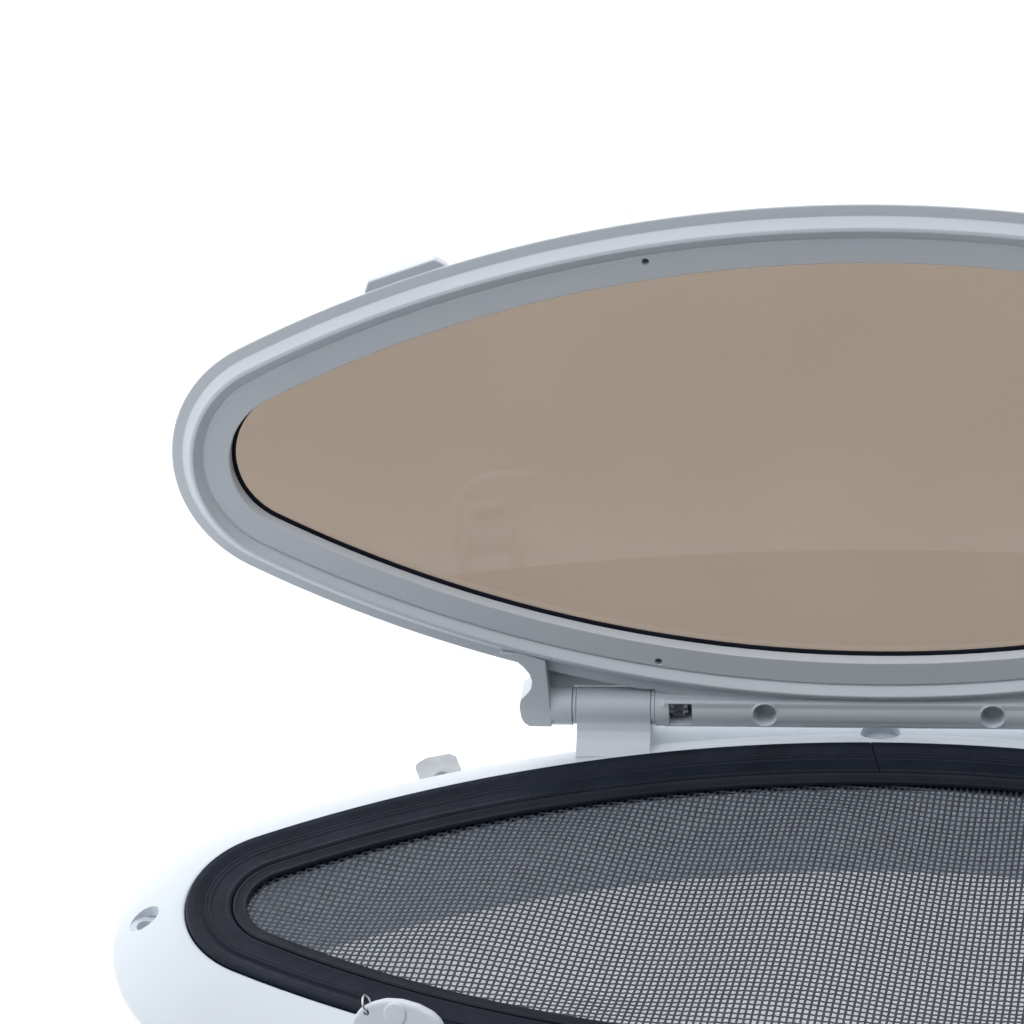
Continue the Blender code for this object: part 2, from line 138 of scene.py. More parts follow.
def eased(corners, steps=4):
    """A closed outline of (a, b, radius) with each corner rounded to its radius. Points without one stay."""
    found = []
    for i, corner in enumerate(corners):
        here = Vector(corner[:2])
        if len(corner) < 3:
            found.append(tuple(here))
            continue
        before = Vector(corners[i - 1][:2]) - here
        after = Vector(corners[(i + 1) % len(corners)][:2]) - here
        half = before.angle(after) / 2
        reach = min(corner[2] / math.tan(half), 0.49 * before.length, 0.49 * after.length)
        centre = here + (before.normalized() + after.normalized()).normalized() * (reach / math.cos(half))
        first = here + before.normalized() * reach - centre
        last = here + after.normalized() * reach - centre
        sweep = first.angle_signed(last)
        found += [tuple(centre + Matrix.Rotation(-sweep * k / steps, 2) @ first) for k in range(steps + 1)]
    return found


# ---------------------------------------------------------------- meshes, in millimetres
def mesh_of(verts, faces, bevel=0.0, frame_matrix=None):
    """A closed mesh facing out, its hard edges bevelled, moved by frame_matrix."""
    bm = bmesh.new()
    made = [bm.verts.new(v) for v in verts]
    for face in faces:
        bm.faces.new([made[i] for i in face])
    bmesh.ops.recalc_face_normals(bm, faces=bm.faces)
    if bevel:
        hard = [e for e in bm.edges if e.calc_face_angle(0) > math.radians(28)]
        bmesh.ops.bevel(
            bm, geom=hard, offset=bevel, segments=3, profile=0.5, affect="EDGES", clamp_overlap=True
        )
    if frame_matrix is not None:
        bmesh.ops.transform(bm, matrix=frame_matrix, verts=bm.verts)
        bmesh.ops.recalc_face_normals(bm, faces=bm.faces)
    mesh = bpy.data.meshes.new("shape")
    bm.to_mesh(mesh)
    bm.free()
    return mesh


def ring(profile):
    """Closed profile of (offset, height) carried round."""
    n, m = len(profile), len(ROUND)
    verts = [(p[0] + r * d[0], p[1] + r * d[1], z) for p, d in ROUND for r, z in profile]
    faces = [
        (i * n + j, i * n + (j + 1) % n, (i + 1) % m * n + (j + 1) % n, (i + 1) % m * n + j)
        for i in range(m)
        for j in range(n)
    ]
    return mesh_of(verts, faces)


def plate(profile):
    """Open profile of (offset, height) from the bottom's edge to the top's, carried round and capped."""
    n, m = len(profile), len(ROUND)
    verts = [(p[0] + r * d[0], p[1] + r * d[1], z) for p, d in ROUND for r, z in profile]
    faces = [
        (i * n + j, i * n + j + 1, (i + 1) % m * n + j + 1, (i + 1) % m * n + j)
        for i in range(m)
        for j in range(n - 1)
    ]
    faces += [tuple(i * n for i in range(m)), tuple(i * n + n - 1 for i in range(m))]
    return mesh_of(verts, faces)


def prism(points, low, high, along="Z", bevel=0.4, place=None):
    """Outline extruded along Z, or an outline of (y, z) along X."""
    m = len(points)
    if along == "Z":
        verts = [(x, y, h) for h in (low, high) for x, y in points]
    else:
        verts = [(h, y, z) for h in (low, high) for y, z in points]
    faces = [tuple(range(m)), tuple(range(m, 2 * m))]
    faces += [(i, (i + 1) % m, m + (i + 1) % m, m + i) for i in range(m)]
    return mesh_of(verts, faces, bevel, place)


def box(x0, x1, y0, y1, z0, z1, bevel=0.0, place=None):
    return prism([(x0, y0), (x1, y0), (x1, y1), (x0, y1)], z0, z1, "Z", bevel, place)


def turned(profile, cy=0.0, cz=0.0, n=48, along="X", place=None):
    """Profile of (x, radius) turned about the line along X, or along Z, through (cy, cz)."""
    rows, verts = [], []
    for x, r in profile:
        spots = [(cy, cz)] if r < 1e-6 else circle(cy, cz, r, n)
        rows.append(range(len(verts), len(verts) + len(spots)))
        verts += [(x, a, b) if along == "X" else (a, b, x) for a, b in spots]
    faces = []
    for a, b in list(zip(rows, rows[1:])) + ([(rows[-1], rows[0])] if len(rows[0]) > 1 else []):
        for k in range(n):
            q = (k + 1) % n
            if len(a) == 1:
                faces.append((a[0], b[k], b[q]))
            elif len(b) == 1:
                faces.append((a[k], a[q], b[0]))
            else:
                faces.append((a[k], a[q], b[q], b[k]))
    return mesh_of(verts, faces, 0.0, place)


def rod(x0, x1, r, cy=0.0, cz=0.0, ease=0.0, place=None):
    """Round bar along X, its ends eased by that much."""
    profile = [(x0, 0), (x0, r - ease), (x0 + ease * 0.3, r - ease * 0.3), (x0 + ease, r)]
    profile += [(x1 - ease, r), (x1 - ease * 0.3, r - ease * 0.3), (x1, r - ease), (x1, 0)]
    if not ease:
        profile = profile[:2] + profile[-2:]
    return turned(profile, cy, cz, place=place)


def washer(x0, x1, r0, r1, cy=0.0, cz=0.0):
    """Flat ring about X, its edges eased."""
    ease = 0.12
    rim = eased([(x0, r0, ease), (x0, r1, ease), (x1, r1, ease), (x1, r0, ease)], 2)
    return turned(rim, cy, cz, 40)


def bore(cx, cy, steps, place=None):
    """Solid of round steps along Z, each a (z, radius)."""
    return turned([(steps[0][0], 0)] + list(steps) + [(steps[-1][0], 0)], cx, cy, 40, "Z", place)


def torus(big, small, place, turns=64, around=10):
    """Wire ring about Y."""
    verts, faces = [], []
    for k in range(turns):
        a = 2 * math.pi * k / turns
        for x, y in circle(big, 0, small, around):
            verts.append((x * math.cos(a), y, x * math.sin(a)))
    for k in range(turns):
        for q in range(around):
            n, p = (k + 1) % turns, (q + 1) % around
            faces.append((k * around + q, k * around + p, n * around + p, n * around + q))
    return mesh_of(verts, faces, 0.0, place)


def flipped(mesh):
    """The same mesh on the other side of the middle."""
    other = mesh.copy()
    other.transform(Matrix.Scale(-1, 4, (1, 0, 0)))
    other.flip_normals()
    return other


def both(mesh):
    return [mesh, flipped(mesh)]


def merged(meshes):
    """Meshes that don't touch, as one."""
    bm = bmesh.new()
    for mesh in meshes:
        bm.from_mesh(mesh)
    made = bpy.data.meshes.new("merged")
    bm.to_mesh(made)
    bm.free()
    return made


def with_steps(mesh, *steps):
    """mesh with each (operation, meshes that don't touch each other) done in turn."""
    target = bpy.data.objects.new("target", mesh)
    scene.collection.objects.link(target)
    helpers = []
    for operation, meshes in steps:
        helper = bpy.data.objects.new("helper", merged(meshes))
        scene.collection.objects.link(helper)
        helpers.append(helper)
        step = target.modifiers.new("step", "BOOLEAN")
        step.operation = operation
        step.solver = "EXACT"
        step.object = helper
    graph = bpy.context.evaluated_depsgraph_get()
    made = bpy.data.meshes.new_from_object(target.evaluated_get(graph), depsgraph=graph)
    for each in [target, *helpers]:
        bpy.data.objects.remove(each, do_unlink=True)
    return made


def melted(mesh, voxel, rounds):
    """The mesh remade in small even faces and smoothed, so that its corners and joints are rounded."""
    target = bpy.data.objects.new("target", mesh)
    scene.collection.objects.link(target)
    step = target.modifiers.new("remesh", "REMESH")
    step.mode = "VOXEL"
    step.voxel_size = voxel
    soft = target.modifiers.new("smooth", "SMOOTH")
    soft.factor = 0.5
    soft.iterations = rounds
    graph = bpy.context.evaluated_depsgraph_get()
    made = bpy.data.meshes.new_from_object(target.evaluated_get(graph), depsgraph=graph)
    bpy.data.objects.remove(target, do_unlink=True)
    return made


# ---------------------------------------------------------------- places
BASE = Matrix.Scale(MM, 4)
to_axis = Matrix.Translation((0, AXIS_Y, AXIS_Z))
LID = BASE @ to_axis @ Matrix.Rotation(-OPEN, 4, "X") @ to_axis.inverted()


def standing(along, at):
    """A frame with X along the given level direction, Z up, at the given point."""
    x = Vector(along).normalized()
    z = Vector((0, 0, 1))
    return Matrix.Translation(at) @ Matrix((x, z.cross(x), z)).transposed().to_4x4()


def dog_place(side_name):
    joint = JOINTS["dog_" + side_name + "_swing"]
    return standing(joint["axis"], Vector(joint["pos_m"]) / MM)


def dog_rest(side_name):
    return dog_place(side_name) @ Matrix.Rotation(-DOG_OPEN, 4, "X")


def out_from(angle, side, facing):
    """Frame on the spine's rear (facing 1) or front (-1) arc: Y outward, Z up, X along the arc."""
    outward = Vector((side * math.sin(angle), facing * math.cos(angle), 0))
    middle = Vector((0, -facing * SIDE_Y, 0))
    return standing(outward.cross(Vector((0, 0, 1))), middle + outward * SPINE)


def piece(name, node, body, mesh, place, material, smooth=32):
    """The finished object, in its place in metres, with its material, its body and the node it replaces."""
    mesh.transform(place)
    if place.determinant() < 0:
        mesh.flip_normals()
    mesh.name = name
    mesh.materials.clear()
    mesh.materials.append(material)
    made = bpy.data.objects.new(name, mesh)
    scene.collection.objects.link(made)
    mesh.polygons.foreach_set("material_index", [0] * len(mesh.polygons))
    mesh.polygons.foreach_set("use_smooth", [True] * len(mesh.polygons))
    mesh.set_sharp_from_angle(angle=math.radians(smooth))
    weigh = made.modifiers.new("normals", "WEIGHTED_NORMAL")
    weigh.keep_sharp = True
    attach(made, body)
    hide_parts(node)
    return made


# ---------------------------------------------------------------- materials
class Nodes:
    """A material's node tree with its Principled shader, and short calls to add to it."""

    def __init__(self, name):
        self.material = bpy.data.materials.new(name)
        self.material.use_nodes = True
        self.tree = self.material.node_tree
        self.shader = self.tree.nodes["Principled BSDF"]
        self.place = self.add("ShaderNodeTexCoord").outputs["Object"]

    def add(self, kind, **settings):
        node = self.tree.nodes.new(kind)
        for key, value in settings.items():
            setattr(node, key, value)
        return node

    def link(self, source, target):
        self.tree.links.new(source, target)

    def noise(self, size, detail=2.0, rough=0.5, stretch=(1, 1, 1)):
        """Noise with features of that size in millimetres."""
        scaled = self.add("ShaderNodeMapping")
        scaled.inputs["Scale"].default_value = [1 / (size * MM * s) for s in stretch]
        self.link(self.place, scaled.inputs["Vector"])
        node = self.add("ShaderNodeTexNoise")
        node.inputs["Scale"].default_value = 1.0
        node.inputs["Detail"].default_value = detail
        node.inputs["Roughness"].default_value = rough
        self.link(scaled.outputs["Vector"], node.inputs["Vector"])
        return node.outputs["Fac"]

    def ramp(self, source, low, high, start=0.3, end=0.7):
        """source from start to end mapped to low to high, numbers or colours."""
        if isinstance(low, (int, float)):
            node = self.add("ShaderNodeMapRange")
            values = (start, end, low, high)
            for key, value in zip(("From Min", "From Max", "To Min", "To Max"), values):
                node.inputs[key].default_value = value
            self.link(source, node.inputs["Value"])
            return node.outputs["Result"]
        node = self.add("ShaderNodeValToRGB")
        node.color_ramp.elements[0].position = start
        node.color_ramp.elements[0].color = (*low, 1)
        node.color_ramp.elements[1].position = end
        node.color_ramp.elements[1].color = (*high, 1)
        self.link(source, node.inputs["Fac"])
        return node.outputs["Color"]

    def bump(self, heights, edge=0.0):
        """heights: (source, depth in mm) pairs, one bump on the next. edge rounds hard edges in shading."""
        normal = None
        if edge:
            rounded = self.add("ShaderNodeBevel", samples=6)
            rounded.inputs["Radius"].default_value = edge * MM
            normal = rounded.outputs["Normal"]
        for source, depth in heights:
            node = self.add("ShaderNodeBump")
            node.inputs["Strength"].default_value = 1.0
            node.inputs["Distance"].default_value = depth * MM
            self.link(source, node.inputs["Height"])
            if normal is not None:
                self.link(normal, node.inputs["Normal"])
            normal = node.outputs["Normal"]
        self.link(normal, self.shader.inputs["Normal"])

    def set(self, **values):
        for key, value in values.items():
            target = self.shader.inputs[key.replace("_", " ")]
            if isinstance(value, bpy.types.NodeSocket):
                self.link(value, target)
            else:
                target.default_value = value


def white_plastic():
    made = Nodes("white_plastic")
    flow = made.noise(38, 2.0)
    made.set(
        Base_Color=made.ramp(flow, (0.595, 0.637, 0.690), (0.620, 0.662, 0.712)),
        Roughness=made.ramp(made.noise(6, 3.0), 0.33, 0.41),
        Specular_IOR_Level=0.42,
    )
    made.bump([(made.noise(0.55, 2.0), 0.006), (made.noise(9, 1.0), 0.02)], edge=0.45)
    return made.material


def black_rubber():
    made = Nodes("black_rubber")
    made.set(
        Base_Color=made.ramp(made.noise(14, 4.0), (0.004, 0.007, 0.015), (0.009, 0.013, 0.025)),
        Roughness=made.ramp(made.noise(2.5, 3.0), 0.5, 0.64),
        Specular_IOR_Level=0.2,
    )
    made.bump([(made.noise(0.4, 3.0), 0.015)], edge=0.15)
    return made.material


def black_plastic():
    made = Nodes("black_plastic")
    made.set(
        Base_Color=made.ramp(made.noise(20, 2.0), (0.007, 0.009, 0.016), (0.012, 0.015, 0.024)),
        Roughness=made.ramp(made.noise(3, 2.0), 0.5, 0.62),
        Specular_IOR_Level=0.2,
    )
    made.bump([(made.noise(0.6, 2.0), 0.01)], edge=0.2)
    return made.material


def screen_net():
    made = Nodes("screen_net")
    made.set(
        Base_Color=made.ramp(made.noise(3, 2.0), (0.026, 0.033, 0.050), (0.052, 0.062, 0.086)),
        Roughness=0.5,
    )
    made.bump([(made.noise(0.12, 1.0, stretch=(1, 1, 3)), 0.02)])
    return made.material


def stainless():
    made = Nodes("stainless")
    scratches = made.noise(0.25, 2.0, stretch=(12, 1, 1))
    made.set(
        Base_Color=made.ramp(made.noise(4, 2.0), (0.52, 0.53, 0.545), (0.62, 0.63, 0.64)),
        Metallic=1.0,
        Roughness=made.ramp(scratches, 0.2, 0.36),
    )
    made.bump([(scratches, 0.004)], edge=0.1)
    return made.material


def zinc_plate():
    made = Nodes("zinc_plate")
    made.set(
        Base_Color=made.ramp(made.noise(5, 4.0), (0.33, 0.345, 0.37), (0.42, 0.435, 0.455)),
        Metallic=0.55,
        Roughness=made.ramp(made.noise(2.0, 3.0), 0.38, 0.55),
    )
    made.bump([(made.noise(0.5, 3.0), 0.01)], edge=0.15)
    return made.material


def smoked_acrylic():
    """Clear tinted sheet: what is behind it shows through a tint, and its outer faces mirror a little."""
    made = Nodes("smoked_acrylic")
    tint = made.ramp(made.noise(60, 1.0), (0.505, 0.454, 0.404), (0.519, 0.467, 0.416))
    through = made.add("ShaderNodeBsdfTransparent")
    made.link(tint, through.inputs["Color"])
    mirror = made.add("ShaderNodeBsdfGlossy")
    mirror.inputs["Roughness"].default_value = 0.02
    gloss = made.add("ShaderNodeFresnel")
    gloss.inputs["IOR"].default_value = 1.49
    facing = made.add("ShaderNodeNewGeometry")
    outside = made.add("ShaderNodeMath", operation="SUBTRACT")
    outside.inputs[0].default_value = 1.0
    made.link(facing.outputs["Backfacing"], outside.inputs[1])
    share = made.add("ShaderNodeMath", operation="MULTIPLY")
    made.link(gloss.outputs["Fac"], share.inputs[0])
    made.link(outside.outputs["Value"], share.inputs[1])
    mix = made.add("ShaderNodeMixShader")
    made.link(share.outputs["Value"], mix.inputs["Fac"])
    made.link(through.outputs["BSDF"], mix.inputs[1])
    made.link(mirror.outputs["BSDF"], mix.inputs[2])
    made.link(mix.outputs["Shader"], made.tree.nodes["Material Output"].inputs["Surface"])
    made.tree.nodes.remove(made.shader)
    return made.material


WHITE, RUBBER, BLACK, NET = white_plastic(), black_rubber(), black_plastic(), screen_net()
STEEL, ZINC, ACRYLIC = stainless(), zinc_plate(), smoked_acrylic()


# ---------------------------------------------------------------- base
def dog_ears():
    """The two plates that carry each dog's pin."""
    top = arc(0.1, 0, 4.9, 16, 172, 8)
    side = [(-4.8, -11.8), (-4.8, -0.6)] + top + [(5.0, -1.0), (4.9, -19.2), (2.6, -17.0), (-0.6, -14.2)]
    return [prism(side, *span, "X", 0.4, dog_place(name)) for name in SIDES for span in EARS]


def screw_holes():
    """The six fixing holes: (place, offset, counterbore's radius and depth, boss's radius and shift)."""
    end, rear, front, corner, corner_x = 42.4, 39.7, 38.2, 41.0, 76.0
    corner_y = SIDE_Y - math.sqrt((SPINE + corner) ** 2 - corner_x**2)
    found = [((s * (END_X + end), 0.0), end, 4.1, 3.0, 5.0, (-s, 0)) for s in (-1, 1)]
    found += [((0.0, 78.9), rear, 5.4, 3.4, 6.3, (0, -1))]
    found += [((0.0, -77.4), front, 4.1, 2.9, 5.0, (0, 1))]
    found += [((s * corner_x, corner_y), corner, 4.1, 2.9, 5.0, (0, 1)) for s in (-1, 1)]
    return found


def knuckle():
    """Arm that sweeps up out of the dome into the round of the hinge."""
    side = [
        (64.0, 12.0),
        (64.2, 15.3, 0.3),
        (66.9, 16.0, 3.0),
        (69.2, 16.9, 3.0),
        (71.0, 18.6, 3.0),
        (72.1, 20.6, 2.0),
        *arc(AXIS_Y, AXIS_Z, KNUCKLE_R, 28, 180, 0),
        (82.8, 12.0, 2.0),
        (83.8, 7.0, 1.0),
        (78.0, 7.6),
    ]
    return prism(eased(side), *KNUCKLE, "X", 0.2)


def rear_ledge():
    """Flat ledge along the rear of the flange, from inside one knuckle to inside the other."""
    profile = eased(
        [
            (LEDGE_OUT, 1.2),
            (LEDGE_OUT, LEDGE_Z, 0.6),
            (39.6, LEDGE_Z, 0.6),
            (38.4, 10.6),
            (43.6, 7.2),
            (47.2, 3.9),
            (48.2, 1.2),
        ]
    )
    n, steps = len(profile), 40
    verts = []
    for k in range(steps + 1):
        a = math.pi / 2 - LEDGE_HALF + 2 * LEDGE_HALF * k / steps
        verts += [((SPINE + r) * math.cos(a), (SPINE + r) * math.sin(a) - SIDE_Y, z) for r, z in profile]
    faces = [
        (i * n + j, i * n + (j + 1) % n, (i + 1) * n + (j + 1) % n, (i + 1) * n + j)
        for i in range(steps)
        for j in range(n)
    ]
    return mesh_of(verts, faces + [tuple(range(n)), tuple(steps * n + j for j in range(n))])


def base_moulding():
    domed, steps = [], 28
    for k in range(steps):
        t = math.pi / 2 * k / steps
        u, v = math.cos(t) ** (2 / DOME_POWER), math.sin(t) ** (2 / DOME_POWER)
        domed.append((RIM_OUT + (FLANGE - RIM_OUT) * u, EDGE + (RIM_Z - EDGE) * v))
    profile = eased(
        [
            (FLANGE, 0.0, 0.4),
            *domed,
            (RIM_OUT, RIM_Z),
            (RIM_IN, RIM_Z - 0.05, 0.45),
            (RIM_IN, SEAT_Z, 0.3),
            (OPENING, SEAT_Z, 0.4),
            (OPENING, SPIGOT_Z, 0.5),
            (SPIGOT_OUT, SPIGOT_Z, 0.5),
            (SPIGOT_OUT, 0.0, 0.6),
            (HOLLOW, 0.0, 0.4),
            (HOLLOW, 9.4, 1.0),
            (34.0, 10.0, 2.0),
            (42.0, 7.6, 2.0),
            (46.4, 3.9, 1.0),
            (47.4, 0.0, 0.3),
        ]
    )
    bosses, cuts = [], []
    for (x, y), offset, head, deep, boss, (across, along) in screw_holes():
        top = dome_z(offset)
        step = top - deep
        bosses.append(bore(x + across, y + along, [(0.0, boss), (step, boss)]))
        cuts.append(bore(x, y, [(-2, SCREW_R), (step, SCREW_R), (step + 0.01, head), (top + 8, head)]))
    cuts += both(rod(KNUCKLE[0] - 2, KNUCKLE[1] + 2, PIN_HOLE, AXIS_Y, AXIS_Z))
    cuts += [rod(-12, 12, DOG_HOLE, place=dog_place(name)) for name in SIDES]
    cuts += [box(-6.4, 6.4, 40.0, 56.0, -2.0, 1.5, 0.0, out_from(LUG_AT, s, 1)) for s in (-1, 1)]
    return with_steps(
        ring(profile),
        ("UNION", [rear_ledge()]),
        ("UNION", both(knuckle()) + dog_ears()),
        ("UNION", bosses),
        ("DIFFERENCE", cuts),
    )


piece("base_moulding", "base_frame", "base", base_moulding(), BASE, WHITE)


# ---------------------------------------------------------------- gasket and screen
def gasket():
    """Outer roll, groove, low ridged body and a lip over the screen frame's foot, with one butt joint."""
    profile = eased(
        [
            (FOOT + 0.3, ON_SEAT, 0.2),
            (GASKET_OUT, ON_SEAT, 0.3),
            (GASKET_OUT, 16.4, 0.9),
            (30.0, 17.1, 0.7),
            (28.3, 17.05, 2.0),
            (26.3, 16.35, 1.0),
            (25.75, 16.1, 0.25),
            (25.35, 16.75, 0.25),
            (24.9, 16.75, 0.2),
            (24.55, 16.5, 0.2),
            (24.2, 16.7, 0.2),
            (23.8, 16.7, 0.2),
            (23.3, 16.45, 0.4),
            (20.0, 16.45, 0.5),
            (19.3, 16.8, 0.3),
            (18.8, 16.8, 0.3),
            (LIP, 16.3, 0.3),
            (LIP, FOOT_Z + 0.3, 0.15),
            (FOOT + 0.3, FOOT_Z + 0.3, 0.1),
        ],
        3,
    )
    joint = Matrix.Translation((-0.8, SPINE - SIDE_Y + 24.5, 16.9))
    joint = joint @ Matrix.Rotation(math.radians(14), 4, "Z")
    return with_steps(ring(profile), ("DIFFERENCE", [box(-0.13, 0.13, -9.0, 9.0, -0.9, 2.0, 0.0, joint)]))


def screen_frame_profile():
    return eased(
        [
            (16.1, ON_SEAT, 0.2),
            (FOOT, ON_SEAT, 0.2),
            (FOOT, FOOT_Z, 0.2),
            (SCREEN_OUT, FOOT_Z, 0.1),
            (SCREEN_OUT, 16.5, 0.5),
            (17.2, 16.85, 0.4),
            (16.5, 16.5, 0.3),
            (15.1, 16.35, 0.4),
            (14.3, 16.5, 0.3),
            (SCREEN_IN, 16.0, 0.3),
            (SCREEN_IN, 15.1, 0.3),
            (16.1, 15.1),
        ],
        3,
    )


def net_point(a, b, lift=0.0):
    """Where the net's point (a, b) lies: a little askew, and rippled where nothing holds it down."""
    lean, fan = 0.115, 0.00095
    x = a + (lean - fan * a) * b
    y = b - NET_SKEW * a
    fade, depth, length = 16.0, 1.9, 85
    room = min(max((SCREEN_IN - offset_of(x, y)) / fade, 0.0), 1.0)
    ripple = -math.sin(2 * math.pi * (x * (1 + 0.0056 * y) + 80) / length)
    return Vector((x, y, NET_Z + depth * ripple * room * room * (3 - 2 * room) + lift))


def net_threads():
    """Plain weave: two families of threads, each a four-sided tube that passes over and under the other."""
    verts, faces = [], []

    def thread(family, index):
        step = NET_PITCH[family]
        other = NET_PITCH[1 - family]
        fixed = index * step

        def spot(t, lift=0.0):
            return net_point(fixed, t, lift) if family == 0 else net_point(t, fixed, lift)

        # a family 0 thread crosses the oval's long axis here, a family 1 thread passes near its short one
        middle = NET_SKEW * fixed if family == 0 else 0.0

        def edge(sign):
            low, far = middle, middle + sign * 200.0
            for _ in range(30):
                half = (low + far) / 2
                inside = offset_of(*spot(half)[:2]) < NET_EDGE
                low, far = (half, far) if inside else (low, half)
            return low

        if offset_of(*spot(middle)[:2]) >= NET_EDGE:
            return
        first, last = edge(-1), edge(1)
        crossings = range(math.ceil(first / other), math.floor(last / other) + 1)
        stops = [(first, 0.0)]
        stops += [(k * other, THREAD_OVER * (1 if (k + index + family) % 2 else -1)) for k in crossings]
        stops += [(last, 0.0)]
        line = [spot(t, lift) for t, lift in stops if first <= t <= last]
        start = len(verts)
        for k, here in enumerate(line):
            ahead = (line[min(k + 1, len(line) - 1)] - line[max(k - 1, 0)]).normalized()
            aside = Vector((-ahead.y, ahead.x, 0)).normalized()
            up = ahead.cross(aside) * THREAD_HIGH
            aside = aside * THREAD_WIDE
            verts.extend(here + shift for shift in (aside, up, -aside, -up))
            if k:
                last_row, row = start + 4 * k - 4, start + 4 * k
                sides = [(q, (q + 1) % 4) for q in range(4)]
                faces.extend((last_row + q, last_row + r, row + r, row + q) for q, r in sides)
        faces.append((start + 3, start + 2, start + 1, start))
        faces.append(tuple(len(verts) - 4 + q for q in range(4)))

    for family, reach in ((0, 110), (1, 60)):
        for index in range(-reach, reach + 1):
            thread(family, index)
    made = bpy.data.meshes.new("net")
    made.from_pydata(verts, [], faces)
    bm = bmesh.new()
    bm.from_mesh(made)
    bmesh.ops.recalc_face_normals(bm, faces=bm.faces)
    bm.to_mesh(made)
    bm.free()
    return made


piece("gasket_rubber", "gasket", "base", gasket(), BASE, RUBBER, 50)
piece("screen_surround", "screen_frame", "base", ring(screen_frame_profile()), BASE, BLACK)
spline = ring(eased([(14.3, 12.9, 0.3), (15.75, 12.9, 0.3), (15.75, 13.9, 0.3), (14.3, 13.9, 0.3)]))
piece("screen_cord", "screen_spline", "base", spline, BASE, RUBBER)
net = piece("insect_net", "screen_mesh", "base", net_threads(), BASE, NET, 80)
outline = [(p[0] + NET_EDGE * d[0], p[1] + NET_EDGE * d[1]) for p, d in ROUND]
pairs = zip(outline, outline[1:] + outline[:1])
net_area = sum((x * b - a * y) / 2 for (x, y), (a, b) in pairs) * MM * MM


# ---------------------------------------------------------------- lid, made shut
def lid_profile():
    return eased(
        [
            (37.95, 20.0, 0.35),
            (34.8, 19.35, 0.3),
            (32.6, 16.7, 0.5),
            (31.6, 16.3, 0.5),
            (28.9, 18.3, 0.2),
            (28.5, 17.75, 0.25),
            (21.7, 17.6, 0.3),
            (21.6, 21.6, 0.1),
            (25.0, 21.6, 0.1),
            (25.0, 27.1, 0.2),
            (26.0, 27.9, 0.8),
            (29.5, 27.6, 3.0),
            (32.6, 26.3, 3.0),
            (35.2, 24.2, 2.0),
            (37.2, 21.9, 1.0),
        ]
    )


def lobe_outline():
    """The bar's end, with the notch in its outer side."""
    return eased(
        [
            (-104.6, 58.4, 0.3),
            (-102.2, 59.4, 2.0),
            (-99.2, 60.8, 2.0),
            (-97.3, 62.6, 2.0),
            (-95.7, 64.8, 2.0),
            (-95.0, 67.0, 2.0),
            (-95.4, 69.5, 2.0),
            (-96.8, 71.4, 1.5),
            (-98.4, 73.0, 1.0),
            (-98.8, 75.2, 2.0),
            (-98.5, 78.2, 2.0),
            (-97.8, 80.2, 1.5),
            (-96.2, 81.4, 1.0),
            (-90.0, 81.4, 0.4),
            (-91.1, 60.8, 0.4),
            (-97.5, 58.4, 0.4),
        ],
        3,
    )


def bar_block():
    """The flat-faced length of the bar between the knuckles."""
    side = [
        (73.2, 18.6, 0.4),
        (73.6, 17.4, 0.8),
        (80.9, 17.4, 2.0),
        (82.4, 19.4, 2.0),
        (83.0, 22.0, 2.0),
        (82.6, 24.9, 2.0),
        (81.2, 26.8, 2.0),
        (78.8, 27.7, 1.5),
        (73.2, 27.7, 0.4),
    ]
    return prism(eased(side), -BLOCK, BLOCK, "X", 0.3)


def lid_web():
    """Upper skin that joins the ring to the bar, over the pockets beside the knuckles."""
    inner, (near, far) = 30.5, WEB_Y
    edge = [(p[0] + inner * d[0], p[1] + inner * d[1]) for p, d in ROUND]
    edge = sorted(p for p in edge if p[1] > 0 and abs(p[0]) < WEB_X)
    return prism([(-WEB_X, far), (-WEB_X, near)] + edge + [(WEB_X, near), (WEB_X, far)], 24.4, 27.2)


def dog_tab(side):
    """Ledge on the lid's edge that the dog clamps down."""
    half = [(12.2, 34.4), (12.0, 37.6, 1.2), (9.7, 40.4, 1.2)]
    outline = [(-12.2, 34.4), *half, (-9.7, 40.4, 1.2), (-12.0, 37.6, 1.2)]
    return prism(eased(outline), 20.5, 23.4, "Z", 0.5, out_from(TAB_AT, side, -1))


def lid_moulding():
    lobe = prism(lobe_outline(), 17.0, 27.3, "Z", 0.4)
    behind = arc(AXIS_Y, AXIS_Z, KNUCKLE_R + GAP_ROOM, 14, 120, 180)
    side = [(70.9, 8.0), (92.0, 8.0), (92.0, 36.0), (behind[0][0], 36.0)] + behind + [(70.9, AXIS_Z)]
    gap = prism(side, *GAP, "X", 0.0)
    window = box(51.3, 57.6, 74.2, 80.95, 8.0, 26.4)
    pin_way = rod(56.0, 99.5, PIN_HOLE, AXIS_Y, AXIS_Z)
    cap_seat = rod(96.0, 99.5, 3.5, AXIS_Y, AXIS_Z)
    vents = [bore(s * 60.0, f * 61.0, [(10.0, 1.0), (21.0, 1.0)]) for s in (-1, 1) for f in (-1, 1)]
    pocket = [(10.0, 3.25), (17.2, 3.25), (17.7, 3.0), (22.6, 2.9)]
    blind = [bore(s * POCKET_X, POCKET_Y, pocket) for s in (-1, 1)]
    lip = eased([(17.0, 3.2, 0.2), (17.0, 3.8, 0.3), (17.9, 3.9), (17.9, 3.2)])
    lips = [turned(lip, s * POCKET_X, POCKET_Y, 40, "Z") for s in (-1, 1)]
    return with_steps(
        ring(lid_profile()),
        ("UNION", [rod(-BAR, BAR, BAR_R, AXIS_Y, AXIS_Z, 0.8)]),
        ("UNION", [bar_block(), dog_tab(-1), dog_tab(1)]),
        ("UNION", [lid_web()]),
        ("UNION", both(lobe)),
        ("DIFFERENCE", both(gap) + both(window) + vents + blind),
        ("DIFFERENCE", both(pin_way)),
        ("DIFFERENCE", both(cap_seat)),
        ("UNION", lips),
    )


